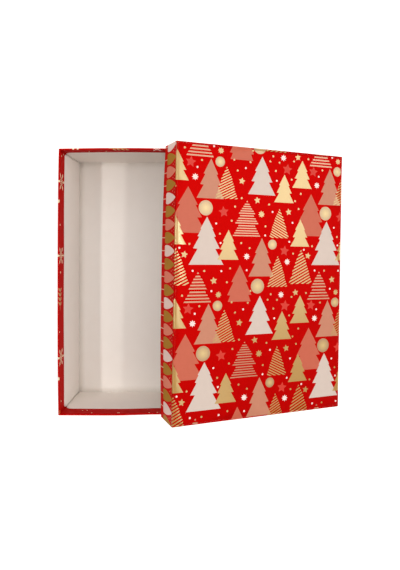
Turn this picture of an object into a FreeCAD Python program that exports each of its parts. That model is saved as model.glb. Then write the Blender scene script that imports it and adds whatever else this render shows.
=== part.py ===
# Rigid gift box with a lift-off lid, in millimetres.
#
# Two trays of greyboard make the box: a base that stands mouth up, and a shallower lid that is
# mouth down. In each tray four wall boards stand around one flat board, a paper stay holds each
# corner, a printed wrap covers the outside and turns in over the rim, and a white lining of one
# cross-shaped sheet covers the inside. The base also has a paper sheet glued under it.
#
# Frame: the origin is the middle of the underside that the base stands on, +X is the width,
# +Y is the length and +Z is up. The lid is stored as it is displayed: its end skirts stand
# astride the base's end walls, its left skirt lies on their rims, and its right skirt stands
# on the same level ground as the base.

import FreeCAD, Part
import Sketcher
import math
import os

SIZES = [
    ("base_length", 340.0, "outside, front to back"),
    ("base_width", 236.0, "outside, left to right"),
    ("base_height", 95.0, "outside, underside to rim"),
    ("lid_height", 43.5, "outside, rim to top"),
    ("board", 1.5, "greyboard thickness"),
    ("wrap_paper", 0.25, "printed wrap, with its glue"),
    ("stay_paper", 0.2, "corner stay, with its glue"),
    ("lining_paper", 0.25, "white lining, with its glue"),
    ("stay_leg", 14.0, "reach of a stay along each wall"),
    ("base_turn_in", 25.0, "depth of the base wrap inside the rim"),
    ("lid_turn_in", 18.0, "depth of the lid wrap inside the rim"),
    ("turn_under", 16.0, "margin of the base wrap under the bottom"),
    ("sheet_inset", 3.0, "underside sheet, in from the outside walls"),
    ("base_lining_drop", 16.5, "base rim to the lining's edge"),
    ("lid_lining_drop", 10.0, "lid rim to the lining's edge"),
    ("lining_corner", 8.0, "round at a lining flap's corners"),
    ("lining_seam", 0.3, "gap between two lining flaps"),
    ("lid_clearance", 1.0, "lid's lining to base's outside, each side"),
    ("side_gap", 0.2, "lid's end skirts to the end walls, where nearest"),
    ("rest_gap", 0.3, "lid to the base, where it lies on it"),
]

# Formulas for what follows from the sizes. A later line may use an earlier one.
DERIVED = [
    ("wall", "Sizes.wrap_paper * 2 + Sizes.stay_paper + Sizes.board"),
    ("lid_oversize", "2 * (Derived.wall + Sizes.lining_paper + Sizes.lid_clearance)"),
    ("lid_length", "Sizes.base_length + Derived.lid_oversize"),
    ("lid_width", "Sizes.base_width + Derived.lid_oversize"),
    ("base_board_low", "2 * Sizes.wrap_paper"),
    ("base_board_high", "Sizes.base_height - Sizes.wrap_paper"),
    ("lid_board_low", "Sizes.wrap_paper"),
    ("lid_board_high", "Sizes.lid_height - Sizes.wrap_paper"),
    ("lid_panel_stack", "Sizes.wrap_paper + Sizes.board + Sizes.lining_paper"),
    ("lid_depth", "Sizes.lid_height - Derived.lid_panel_stack"),
    ("tilt_sine", "(Sizes.base_height + Sizes.rest_gap) / (Derived.lid_width - Derived.wall)"),
    ("tilt", "asin(Derived.tilt_sine) / 1 deg"),
    ("play", "2 * (Sizes.lid_clearance - Sizes.side_gap)"),
    ("turn", "asin(Derived.play * Derived.tilt_sine / Derived.lid_depth) / 1 deg"),
    ("turn_shift", "Sizes.base_length / 2 * tan(Derived.turn * 1 deg)"),
    ("overlap", "(Derived.lid_depth - Sizes.rest_gap) / Derived.tilt_sine - Derived.turn_shift"),
    ("lid_reach", "Derived.lid_width / 2 * cos(Derived.tilt * 1 deg)"),
    ("lid_x", "Sizes.base_width / 2 - Derived.overlap + Derived.lid_reach"),
    ("lid_y", "(Derived.overlap / 2 - Derived.lid_reach) * tan(Derived.turn * 1 deg)"),
    ("lid_z", "Derived.lid_width / 2 * Derived.tilt_sine"),
]

CORNERS = [
    ("front_left", -1, -1),
    ("front_right", 1, -1),
    ("back_left", -1, 1),
    ("back_right", 1, 1),
]

document = FreeCAD.newDocument("GiftBox")


def make_sheet():
    """The driving dimensions: name, plain number and note, with the number's cell aliased."""
    sheet = document.addObject("Spreadsheet::Sheet", "Sizes")
    for row, (alias, value, note) in enumerate(SIZES, start=1):
        sheet.set(f"A{row}", alias)
        sheet.set(f"B{row}", str(value))
        sheet.set(f"C{row}", note)
        sheet.setAlias(f"B{row}", alias)
    document.recompute()
    return sheet


def make_derived():
    """Named values worked out from the sheet, so that the features below stay short."""
    derived = document.addObject("App::VarSet", "Derived")
    for name, formula in DERIVED:
        derived.addProperty("App::PropertyFloat", name)
        derived.setExpression(name, formula)
        document.recompute()
    return derived


def make_lid_rest():
    """Where the lid rests: turned about +Z by its play, then tipped about its own length."""
    rest = document.addObject("App::Placement", "LidRest")
    rest.setExpression("Placement.Base.x", "Derived.lid_x")
    rest.setExpression("Placement.Base.y", "Derived.lid_y")
    rest.setExpression("Placement.Base.z", "Derived.lid_z")
    rest.setExpression("Placement.Rotation.Yaw", "-Derived.turn")
    rest.setExpression("Placement.Rotation.Pitch", "Derived.tilt")
    document.recompute()
    return rest


def make_body(label):
    """A piece of the base stands at the origin, and a piece of the lid at the lid's rest."""
    body = document.addObject("PartDesign::Body", label)
    body.Label = label
    if label.startswith("lid_"):
        body.setExpression("Placement", "LidRest.Placement")
    return body


def origin_plane(body, role):
    """One of the body's own origin planes, found by its role."""
    for feature in body.Origin.OriginFeatures:
        if feature.Role == role:
            return feature
    raise ValueError(f"{body.Label} has no {role}")


def add_outline(body, name, loops, low):
    """A level sketch at height low, with one closed polygon for each loop of corner formulas."""
    sketch = body.newObject("Sketcher::SketchObject", f"{body.Label}_{name}_sketch")
    sketch.AttachmentSupport = (origin_plane(body, "XY_Plane"), [""])
    sketch.MapMode = "FlatFace"
    sketch.setExpression("AttachmentOffset.Base.z", low)
    for loop in loops:
        add_polygon(sketch, loop)
    return sketch


def add_polygon(sketch, loop):
    """Lines joined end to end, each start fixed by its two formulas from the origin."""
    first = sketch.GeometryCount
    count = len(loop)
    angles = [2 * math.pi * step / count for step in range(count + 1)]
    starts = [FreeCAD.Vector(math.cos(angle), math.sin(angle), 0) for angle in angles]
    for step in range(count):
        sketch.addGeometry(Part.LineSegment(starts[step], starts[step + 1]), False)
    for step in range(count):
        following = (step + 1) % count
        sketch.addConstraint(Sketcher.Constraint("Coincident", first + step, 2, first + following, 1))
    for step, (x_formula, y_formula) in enumerate(loop):
        line = first + step
        start = starts[step]
        across = sketch.addConstraint(Sketcher.Constraint("DistanceX", -1, 1, line, 1, start.x))
        along = sketch.addConstraint(Sketcher.Constraint("DistanceY", -1, 1, line, 1, start.y))
        sketch.setExpression(f"Constraints[{across}]", x_formula)
        sketch.setExpression(f"Constraints[{along}]", y_formula)


def rectangle(half_x, half_y):
    """Corner formulas of a rectangle about the origin."""
    return [
        (f"-({half_x})", f"-({half_y})"),
        (half_x, f"-({half_y})"),
        (half_x, half_y),
        (f"-({half_x})", half_y),
    ]


def span(x_low, x_high, y_low, y_high):
    """Corner formulas of a rectangle between two values each way."""
    return [(x_low, y_low), (x_high, y_low), (x_high, y_high), (x_low, y_high)]


def add_slab(body, name, loops, low, high):
    """Pad the outline from height low up to height high."""
    pad = body.newObject("PartDesign::Pad", f"{body.Label}_{name}")
    pad.Profile = add_outline(body, name, loops, low)
    pad.setExpression("Length", f"({high}) - ({low})")
    document.recompute()
    return pad


def cut_slab(body, name, loops, low, high):
    """Cut the outline away from height low up to height high, and check that it cut."""
    before = body.Shape.Volume
    pocket = body.newObject("PartDesign::Pocket", f"{body.Label}_{name}")
    pocket.Profile = add_outline(body, name, loops, low)
    pocket.setExpression("Length", f"({high}) - ({low})")
    pocket.Reversed = True
    document.recompute()
    if body.Shape.Volume >= before:
        raise ValueError(f"{body.Label} {name} removed nothing")
    return pocket


class Tray:
    """The formulas that the pieces of one tray share."""

    def __init__(self, side, length, width, board_low, board_high):
        self.side = side
        self.half_x = f"{width} / 2"
        self.half_y = f"{length} / 2"
        self.board_low = board_low
        self.board_high = board_high

    def inset(self, *layers):
        """Half width and half length, in by the layers named."""
        less = "".join(f" - {layer}" for layer in layers)
        return self.half_x + less, self.half_y + less

    def wrap_inside(self):
        return self.inset("Sizes.wrap_paper")

    def board_outside(self):
        return self.inset("Sizes.wrap_paper", "Sizes.stay_paper")

    def board_inside(self):
        return self.inset("Sizes.wrap_paper", "Sizes.stay_paper", "Sizes.board")

    def wall_inside(self):
        return self.inset("Derived.wall")

    def lining_inside(self):
        return self.inset("Derived.wall", "Sizes.lining_paper")


def make_walls(tray):
    """Left and right boards run the whole length, and the ends stand between them."""
    out_x, out_y = tray.board_outside()
    in_x, in_y = tray.board_inside()
    outlines = {
        "left": span(f"-({out_x})", f"-({in_x})", f"-({out_y})", out_y),
        "right": span(in_x, out_x, f"-({out_y})", out_y),
        "front": span(f"-({in_x})", in_x, f"-({out_y})", f"-({in_y})"),
        "back": span(f"-({in_x})", in_x, in_y, out_y),
    }
    kind = "wall" if tray.side == "base" else "skirt"
    pieces = []
    for place, outline in outlines.items():
        body = make_body(f"{tray.side}_{place}_{kind}_board")
        add_slab(body, "board", [outline], tray.board_low, tray.board_high)
        pieces.append(body)
    return pieces


def make_panel(tray, name, low, high):
    """The flat board that the four wall boards stand around."""
    body = make_body(f"{tray.side}_{name}_board")
    add_slab(body, "board", [rectangle(*tray.board_inside())], low, high)
    return body


def make_stays(tray):
    """One angle of paper over each outside corner of the boards."""
    out_x, out_y = tray.wrap_inside()
    in_x, in_y = tray.board_outside()
    pieces = []
    for place, sign_x, sign_y in CORNERS:
        leg_x = f"{sign_x} * ({out_x} - Sizes.stay_leg)"
        leg_y = f"{sign_y} * ({out_y} - Sizes.stay_leg)"
        far_x = f"{sign_x} * ({out_x})"
        far_y = f"{sign_y} * ({out_y})"
        near_x = f"{sign_x} * ({in_x})"
        near_y = f"{sign_y} * ({in_y})"
        angle = [
            (far_x, far_y),
            (leg_x, far_y),
            (leg_x, near_y),
            (near_x, near_y),
            (near_x, leg_y),
            (far_x, leg_y),
        ]
        body = make_body(f"{tray.side}_{place}_corner_stay")
        add_slab(body, "angle", [angle], tray.board_low, tray.board_high)
        pieces.append(body)
    return pieces


def make_base_wrap(tray):
    """Printed paper around the base, over its rim, down inside, and under the bottom board."""
    body = make_body("base_wrap")
    outside = rectangle(tray.half_x, tray.half_y)
    inside = rectangle(*tray.wrap_inside())
    board_face = rectangle(*tray.board_inside())
    mouth = rectangle(*tray.wall_inside())
    margin = rectangle(*tray.inset("Sizes.turn_under"))
    rim = "Sizes.base_height"
    add_slab(body, "skin", [outside], "Sizes.wrap_paper", rim)
    cut_slab(body, "board_space", [inside], tray.board_low, tray.board_high)
    turn_low = f"{rim} - Sizes.base_turn_in"
    add_slab(body, "turn_in", [board_face, mouth], turn_low, rim)
    cut_slab(body, "mouth", [mouth], tray.board_high, rim)
    cut_slab(body, "underside", [margin], "Sizes.wrap_paper", tray.board_low)
    return body


def make_lid_wrap(tray):
    """Printed paper over the lid's top and skirts, round their rim and up inside."""
    body = make_body("lid_wrap")
    outside = rectangle(tray.half_x, tray.half_y)
    inside = rectangle(*tray.wrap_inside())
    board_face = rectangle(*tray.board_inside())
    mouth = rectangle(*tray.wall_inside())
    add_slab(body, "skin", [outside], "0", "Sizes.lid_height")
    cut_slab(body, "board_space", [inside], tray.board_low, tray.board_high)
    add_slab(body, "turn_in", [board_face, mouth], "0", "Sizes.lid_turn_in")
    cut_slab(body, "mouth", [mouth], "0", tray.board_low)
    return body


def round_flap_corners(body, pad, free_height):
    """Round the flap corners: the short edges through the paper at the flaps' free height."""
    thickness = document.Sizes.lining_paper
    names = []
    for number, edge in enumerate(pad.Shape.Edges, start=1):
        heights = [vertex.Point.z for vertex in edge.Vertexes]
        level = all(abs(height - free_height) < 1e-4 for height in heights)
        if level and abs(edge.Length - thickness) < 1e-4:
            names.append(f"Edge{number}")
    if len(names) != 8:
        raise ValueError(f"{body.Label} has {len(names)} flap corners instead of 8")
    fillet = body.newObject("PartDesign::Fillet", f"{body.Label}_corners")
    fillet.Base = (pad, names)
    fillet.setExpression("Radius", "Sizes.lining_corner")
    document.recompute()


def make_lining(tray, panel_low, panel_high, flap_low, flap_high, free_height):
    """White paper: a flat panel with four flaps, which leave a fine seam in each corner."""
    body = make_body(f"{tray.side}_lining")
    face_x, face_y = tray.wall_inside()
    thin_x, thin_y = tray.lining_inside()
    end_x = f"({thin_x} - Sizes.lining_seam)"
    add_slab(body, "panel", [rectangle(face_x, face_y)], panel_low, panel_high)
    cut_slab(body, "panel_ends", end_slots(thin_x, end_x, thin_y, face_y), panel_low, panel_high)
    sides = [
        span(f"-({face_x})", f"-({thin_x})", f"-({face_y})", face_y),
        span(thin_x, face_x, f"-({face_y})", face_y),
    ]
    ends = [
        span(f"-{end_x}", end_x, f"-({face_y})", f"-({thin_y})"),
        span(f"-{end_x}", end_x, thin_y, face_y),
    ]
    add_slab(body, "side_flaps", sides, flap_low, flap_high)
    last = add_slab(body, "end_flaps", ends, flap_low, flap_high)
    round_flap_corners(body, last, free_height)
    return body


def end_slots(x_out, x_in, y_in, y_out):
    """The seam between neighbouring flaps, at the four corners of the panel."""
    slots = []
    for _, sign_x, sign_y in CORNERS:
        x_near, x_far = f"{sign_x} * {x_in}", f"{sign_x} * ({x_out})"
        y_near, y_far = f"{sign_y} * ({y_in})", f"{sign_y} * ({y_out})"
        slots.append(span(x_near, x_far, y_near, y_far))
    return slots


def make_underside_sheet(tray):
    """Plain sheet over the wrap's margins: the face that the box stands on."""
    body = make_body("base_underside_sheet")
    outline = rectangle(*tray.inset("Sizes.sheet_inset"))
    add_slab(body, "sheet", [outline], "0", "Sizes.wrap_paper")
    return body


def make_base(sizes):
    """Every piece of the base."""
    tray = Tray(
        "base",
        "Sizes.base_length",
        "Sizes.base_width",
        "Derived.base_board_low",
        "Derived.base_board_high",
    )
    floor = "Derived.base_board_low + Sizes.board"
    lining_top = "Sizes.base_height - Sizes.base_lining_drop"
    pieces = make_walls(tray)
    pieces.append(make_panel(tray, "bottom", tray.board_low, floor))
    pieces.extend(make_stays(tray))
    pieces.append(make_base_wrap(tray))
    pieces.append(make_underside_sheet(tray))
    free_height = sizes.base_height - sizes.base_lining_drop
    lined_floor = f"{floor} + Sizes.lining_paper"
    pieces.append(make_lining(tray, floor, lined_floor, floor, lining_top, free_height))
    return pieces


def make_lid(sizes):
    """Every piece of the lid, drawn mouth down with its rim at height 0."""
    tray = Tray(
        "lid",
        "Derived.lid_length",
        "Derived.lid_width",
        "Derived.lid_board_low",
        "Derived.lid_board_high",
    )
    ceiling = "Derived.lid_board_high - Sizes.board"
    pieces = make_walls(tray)
    pieces.append(make_panel(tray, "top", ceiling, tray.board_high))
    pieces.extend(make_stays(tray))
    pieces.append(make_lid_wrap(tray))
    lined_ceiling = f"{ceiling} - Sizes.lining_paper"
    free_height = sizes.lid_lining_drop
    pieces.append(
        make_lining(tray, lined_ceiling, ceiling, "Sizes.lid_lining_drop", ceiling, free_height)
    )
    return pieces


def check_and_write(pieces):
    """Stop at a failed object or a bad shape, then write one file for each piece."""
    for item in document.Objects:
        if "Invalid" in item.State or "Error" in item.State:
            raise ValueError(f"{item.Name} is {item.State}")
    for body in pieces:
        if body.Shape.isNull() or not body.Shape.isValid() or len(body.Shape.Solids) != 1:
            raise ValueError(f"{body.Label} is not one valid solid")
    os.makedirs("parts", exist_ok=True)
    for body in pieces:
        body.Shape.exportStep(os.path.join("parts", f"{body.Label}.step"))
        box = body.Shape.BoundBox
        size = f"{box.XLength:.2f} x {box.YLength:.2f} x {box.ZLength:.2f}"
        print(f"{body.Label}: {size} mm, {body.Shape.Volume:.0f} mm3")


def main():
    sizes = make_sheet()
    derived = make_derived()
    make_lid_rest()
    pieces = make_base(sizes) + make_lid(sizes)
    document.recompute()
    for name, _ in DERIVED:
        print(f"{name} = {getattr(derived, name):.4f}")
    check_and_write(pieces)
    print(f"{len(pieces)} pieces")


main()
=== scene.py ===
# %% [markdown]
# # A papered gift box, lid off
#
# A rigid gift box is greyboard covered in printed paper. Four things give it its look: crisp
# paper folds with a small radius, flat inks beside a gold one that catches the light, a white
# lining with round-cornered flaps, and walls that bow a little because board is never quite
# flat. This file makes each of these as a surface worked out with numpy, around the boards and
# dimensions that the frame gives.

import math

import bpy
import numpy as np
from mathutils import Matrix, Vector
from mathutils.geometry import delaunay_2d_cdt


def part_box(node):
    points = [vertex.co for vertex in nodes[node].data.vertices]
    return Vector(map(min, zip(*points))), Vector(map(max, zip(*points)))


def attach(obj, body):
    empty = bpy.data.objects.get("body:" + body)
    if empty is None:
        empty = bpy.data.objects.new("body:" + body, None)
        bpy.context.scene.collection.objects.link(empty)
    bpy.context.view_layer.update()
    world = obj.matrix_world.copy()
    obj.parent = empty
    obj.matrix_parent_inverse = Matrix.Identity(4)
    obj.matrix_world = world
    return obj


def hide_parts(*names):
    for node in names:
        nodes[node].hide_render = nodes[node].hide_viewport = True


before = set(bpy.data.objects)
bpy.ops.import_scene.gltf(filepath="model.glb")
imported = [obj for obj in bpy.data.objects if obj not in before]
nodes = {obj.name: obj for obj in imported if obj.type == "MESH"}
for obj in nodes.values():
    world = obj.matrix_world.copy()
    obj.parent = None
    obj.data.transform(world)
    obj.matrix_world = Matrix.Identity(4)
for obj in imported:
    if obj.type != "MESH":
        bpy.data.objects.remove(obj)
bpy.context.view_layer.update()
MM = 0.001

# %% [markdown]
# ## Reading the trays from the frame
#
# The base stands square to the axes, so its box says everything. The lid is tilted and turned,
# so its own axes are read from its top board, a plain slab: the longest direction is its
# length, the shortest is its thickness. Everything on the lid is then worked out level, with
# its rim at height zero, and moved to its place at the end by one matrix. The papers are
# 0.25 mm thick, the boards 1.5 mm, and a whole wall with its corner stay 2.2 mm.


# %% Size and axes of each tray
def corners_of(node):
    """The distinct corners of a node's mesh, in millimetres."""
    mesh = nodes[node].data
    points = np.empty(len(mesh.vertices) * 3)
    mesh.vertices.foreach_get("co", points)
    return np.unique(np.round(points.reshape(-1, 3) / MM, 3), axis=0)


def slab_axes(node):
    """Centre of a slab and its own right, back and up directions, from its spread of corners."""
    points = corners_of(node)
    centre = points.mean(0)
    back, right, up = np.linalg.svd(points - centre)[2]
    right = right if right[0] > 0 else -right
    back = back if back[1] > 0 else -back
    up = up if up[2] > 0 else -up
    return centre, np.array([right, back, up])


def own_extent(node, centre, axes):
    """Lowest and highest corner of a node along the given axes."""
    local = (corners_of(node) - centre) @ axes.T
    return local.min(0), local.max(0)


lid_centre, lid_axes = slab_axes("lid_top_board")
lid_low, lid_high = own_extent("lid_wrap", lid_centre, lid_axes)
LID_ORIGIN = lid_centre + lid_low[2] * lid_axes[2]
LID_HALF_X = (lid_high[0] - lid_low[0]) / 2
LID_HALF_Y = (lid_high[1] - lid_low[1]) / 2
LID_HEIGHT = lid_high[2] - lid_low[2]
base_corner, base_top = (np.array(corner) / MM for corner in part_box("base_wrap"))
BASE_HALF_X = base_top[0]
BASE_HALF_Y = base_top[1]
BASE_HEIGHT = base_top[2]
SHEET_TOP = base_corner[2]
PAPER = 0.25
BOARD = 1.5
WALL = 2.2
print("lid", LID_HALF_X * 2, LID_HALF_Y * 2, LID_HEIGHT, "base", BASE_HALF_X * 2, BASE_HALF_Y * 2)

# %% [markdown]
# ## How the walls bow
#
# Board dries unevenly under its glued paper, so long walls belly out. They are straight where
# the bottom or top board holds them and move most at the free edge. Each layer could be bent on
# its own, but paper, board and lining would then poke through one another. Instead every piece
# is worked out straight, and one smooth movement of space, the same for all layers, bows them
# together: it grows towards the free edge and towards the wall, and is nothing in the middle of
# the box. The front and back walls lean out where they are free and stand straight where the
# lid's skirts sit astride them. The sizes below are millimetres of movement at the free edge.


# %% Movement of the walls, in millimetres
def belly(along, half):
    """1 in the middle of a wall, falling to 0 at its ends, with a flat middle."""
    return 1 - np.clip(np.abs(along) / half, 0, 1) ** 2.5


NEARNESS = 8
LEAST_LEAN = 0.1
LEFT_BELLY = 1.2
RIGHT_BELLY = 0.4
SKIRT_BELLY = 2.8

# The back wall's lean was measured at seven places along its rim, and a smooth curve joins them.
BACK_PLACES = [-118, -77, -35, -5, 17, 60, 118]
BACK_LEANS = [1.2, 1.8, 2.25, 2.05, 1.55, 0.85, 0.1]
BACK_CURVE = np.polyfit(BACK_PLACES, BACK_LEANS, 4)

# The lid's skirt holds the front wall from x = 14 rightwards, and the wall eases into its full
# lean over the 62 mm to the left of that.
FRONT_LEAN = 1.45
FRONT_HELD_FROM = 14
FRONT_EASE = 62


def bow_base(x, y, z):
    """Points of the straight base moved out: how far along each wall, times the height's share
    to the power 1.3, times the nearness to the wall, the eighth power of the place across."""
    rise = np.clip(z / BASE_HEIGHT, 0, 1) ** 1.3
    free = np.clip((FRONT_HELD_FROM - x) / FRONT_EASE, 0, 1)
    front = LEAST_LEAN + FRONT_LEAN * free**2 * (3 - 2 * free)
    back = np.clip(np.polyval(BACK_CURVE, x), LEAST_LEAN / 2, None)
    ends = np.where(y > 0, back, front)
    middle = belly(y, BASE_HALF_Y)
    sides = np.where(x < 0, LEAST_LEAN + LEFT_BELLY * middle, RIGHT_BELLY * middle)
    moved_x = x + np.sign(x) * sides * rise * (np.abs(x) / BASE_HALF_X) ** NEARNESS
    moved_y = y + np.sign(y) * ends * rise * (np.abs(y) / BASE_HALF_Y) ** NEARNESS
    return moved_x, moved_y, z


def bow_lid(x, y, down):
    """The same for the lid, whose left skirt alone stands free: the others bear on something."""
    fall = np.clip(down / LID_HEIGHT, 0, 1) ** 1.2
    near = np.where(x < 0, (np.abs(x) / LID_HALF_X) ** NEARNESS, 0)
    return x - SKIRT_BELLY * belly(y, LID_HALF_Y) * fall * near, y, down


# %% [markdown]
# ## From a flat sheet to a folded wrap
#
# The real wrap is one printed sheet: a panel with a flap on each side, folded down the walls,
# round the rim and up the inside. It could be modelled as a solid with a picture on it, but
# then the print has no reason to meet at the folds. Here the sheet is made flat first, motifs
# and all, in the flat sheet's own millimetres, and one function folds every point. A motif
# that crosses a fold goes round it, as ink on paper does.
#
# The fold is a profile: the distance travelled from the panel's edge gives how far out and how
# far down the paper has gone. It runs through a quarter round at the panel's edge, straight
# down the wall, over the board's edge, and back up the inside. The board's edge is square and
# has a paper stay on its corners, so the paper goes over it in a half round whose cosine and
# sine are each raised to a power below one, which swells the round towards a square. The
# upright corners are squared in the same way. Just inside the panel's edge the paper dips a
# little, as it does where a bone folder has pressed it against the board.


# %% The fold profile and the wrap's map
FOLD_RADIUS = 1.5
CREASE_IN = 2.3
CREASE_HALF = 0.5
CREASE_DEPTH = 0.26
RIM_SQUARE = 0.55
CORNER_SQUARE = 0.45
CORNER_EASE = 0.6
EDGE_SLACK = 0.01


class Wrap:
    """The measures of one tray's paper, and the map from flat sheet to folded sheet."""

    def __init__(self, half_x, half_y, height, turn_in):
        self.half_x, self.half_y = half_x, half_y
        self.rim = WALL / 2
        self.flat_x = half_x - FOLD_RADIUS
        self.flat_y = half_y - FOLD_RADIUS
        self.at_wall = FOLD_RADIUS * math.pi / 2
        self.at_rim = self.at_wall + height - FOLD_RADIUS - self.rim
        self.at_crest = self.at_rim + self.rim * math.pi / 2
        self.at_inside = self.at_rim + self.rim * math.pi
        self.at_end = self.at_inside + turn_in - self.rim

    def profile(self, travel):
        """Out and down for a distance travelled: a quarter round, the wall, a half round squared
        by its power, and the inside wall, with a dent before the first of them."""
        turn = np.clip(travel / FOLD_RADIUS, 0, math.pi / 2)
        down_wall = np.clip(travel - self.at_wall, 0, self.at_rim - self.at_wall)
        round_rim = np.clip((travel - self.at_rim) / self.rim, 0, math.pi)
        up_inside = np.clip(travel - self.at_inside, 0, None)
        over = np.sign(np.cos(round_rim)) * np.abs(np.cos(round_rim)) ** RIM_SQUARE
        under = np.abs(np.sin(round_rim)) ** RIM_SQUARE
        out = FOLD_RADIUS * np.sin(turn) - self.rim * (1 - over)
        down = FOLD_RADIUS * (1 - np.cos(turn)) + down_wall + self.rim * under - up_inside
        from_crease = np.abs(travel + CREASE_IN - FOLD_RADIUS) / CREASE_HALF
        dent = CREASE_DEPTH * np.clip(1 - from_crease, 0, 1)
        return np.where(travel < 0, travel, out), np.where(travel < 0, dent, down)

    def folded(self, across, along):
        """Flat sheet point to x, y and depth below the panel. Side flaps fold first and their
        tabs go round the upright corners, one paper's thickness under the end flaps."""
        travel_x = np.abs(across) - self.flat_x
        travel_y = np.abs(along) - self.flat_y
        side = travel_x >= -EDGE_SLACK
        end = (travel_y > 0) & ~side
        panel = (travel_x < 0) & (travel_y < 0)
        sign_x, sign_y = np.sign(across), np.sign(along)
        out_x, down_x = self.profile(travel_x)
        out_y, down_y = self.profile(travel_y)
        x = np.where(side, sign_x * (self.flat_x + out_x), across)
        y = np.where(end, sign_y * (self.flat_y + out_y), along)
        down = np.where(side, down_x, np.maximum(down_x, down_y) * panel)
        down = np.where(end, down_y, down)
        corner = side & (travel_y > 0)
        angle = np.clip(travel_y / FOLD_RADIUS, 0, math.pi / 2)
        past = np.clip(travel_y - self.at_wall, 0, None)
        tucked = PAPER * np.clip(past / CORNER_EASE, 0, 1)
        radius = np.clip(out_x - tucked, 0, None)
        round_x = np.abs(np.cos(angle)) ** CORNER_SQUARE
        round_y = np.sin(angle) ** CORNER_SQUARE
        x = np.where(corner, sign_x * (self.flat_x + radius * round_x - past), x)
        y = np.where(corner, sign_y * (self.flat_y + radius * round_y), y)
        down = np.where(corner, down_x - tucked * (travel_x > self.at_wall), down)
        return x, y, down


LID_TURN_IN = 18
BASE_TURN_IN = 34
lid_wrap = Wrap(LID_HALF_X, LID_HALF_Y, LID_HEIGHT, LID_TURN_IN)
base_wrap = Wrap(BASE_HALF_X, BASE_HALF_Y, BASE_HEIGHT - SHEET_TOP, BASE_TURN_IN)
print("lid sheet reaches", round(lid_wrap.flat_x + lid_wrap.at_end, 1), "mm across from its middle")

# %% [markdown]
# ## The print
#
# The lid's paper has a repeat of fir trees, baubles, stars and dots, about 177 by 180 mm. Each
# motif is an outline in the flat sheet's millimetres with an ink. Drawing them as a node
# pattern would take hundreds of nodes and go soft when baked, so instead their outlines are
# cut into the sheet's own mesh, and each face takes the material of the ink on top. Edges stay
# as sharp as print at any distance. Positions are measured from the panel's left and back
# edges, as one would with a ruler on the box.


# %% Outlines of the motifs
FIR = [(0.385, 0.52), (0.395, 0.41), (0.655, 0.76), (0.665, 0.51), (1.0, 1.0)]
TALL_FIR = [(0.25, 0.36), (0.26, 0.32), (0.41, 0.52), (0.42, 0.42), (0.66, 0.77), (0.67, 0.51),
            (1.0, 1.0)]
LOW_FIR = [(0.46, 0.72), (0.47, 0.55), (0.817, 1.06), (0.83, 0.80), (1.0, 1.0)]
STRIPED_FIR = [(0.40, 0.50), (0.41, 0.44), (0.68, 0.74), (0.69, 0.66), (1.0, 1.0)]


def rectangle(low_u, high_u, low_v, high_v):
    """Its four corners, in turn."""
    return np.array([(low_u, low_v), (high_u, low_v), (high_u, high_v), (low_u, high_v)])


def fir_tree(u, top, bottom, half, tiers):
    """A tree's outline from its tip down the right side and up the left, tier by tier. A tier's
    two numbers are its shares of the height and of the half width."""
    height = bottom - top
    right = [(u + wide * half, top + down * height) for down, wide in tiers]
    left = [(u - wide * half, top + down * height) for down, wide in reversed(tiers)]
    return np.array([(u, top)] + right + left)


def star(u, v, radius, points, inner, turn=0.0):
    """Tips and hollows in turn around a centre, at the radius and at inner times the radius."""
    angles = np.arange(points * 2) * math.pi / points - math.pi / 2 + turn
    reach = np.where(np.arange(points * 2) % 2 == 0, radius, radius * inner)
    return np.stack([u + reach * np.cos(angles), v + reach * np.sin(angles)], 1)


def disc(u, v, radius, sides):
    """A regular polygon with enough sides to read as round."""
    angles = np.arange(sides) * 2 * math.pi / sides
    return np.stack([u + radius * np.cos(angles), v + radius * np.sin(angles)], 1)


BAND_SHARE = 0.47


def slanted_stripes(u, top, bottom, half, slope, pitch):
    """A tree shown only by parallel slanted bands. Each band's ends lie on the tree's two sides,
    where the lines v = level + slope * u cross them."""
    tree = fir_tree(0.0, top, bottom, half, STRIPED_FIR)
    following = np.roll(tree, -1, axis=0)
    first = tree[:, 1] - slope * tree[:, 0]
    last = following[:, 1] - slope * following[:, 0]
    bands = []
    for low in np.arange(first.min() + 0.5, first.max() - 0.5, pitch):
        ends = []
        for level in (low, low + pitch * BAND_SHARE):
            crossed = (first - level) * (last - level) < 0
            part = (level - first[crossed]) / (last[crossed] - first[crossed])
            across = tree[crossed, 0] + part * (following[crossed, 0] - tree[crossed, 0])
            if len(across) > 1:
                ends.append((across.min(), across.max(), level))
        if len(ends) == 2:
            (a, b, high), (c, d, deep) = ends
            band = [(a, high + slope * a), (b, high + slope * b),
                    (d, deep + slope * d), (c, deep + slope * c)]
            bands.append(np.array(band) + [u, 0.0])
    return bands


def level_stripes(u, rows, thick):
    """Level stripes of given depth and half length, whose ends lean out downwards."""
    lean = thick * 0.25
    stripes = []
    for v, half in rows:
        upper, lower = v - thick / 2, v + thick / 2
        stripes.append(np.array([(u - half + lean, upper), (u + half - lean, upper),
                                 (u + half + lean, lower), (u - half - lean, lower)]))
    return stripes


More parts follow.
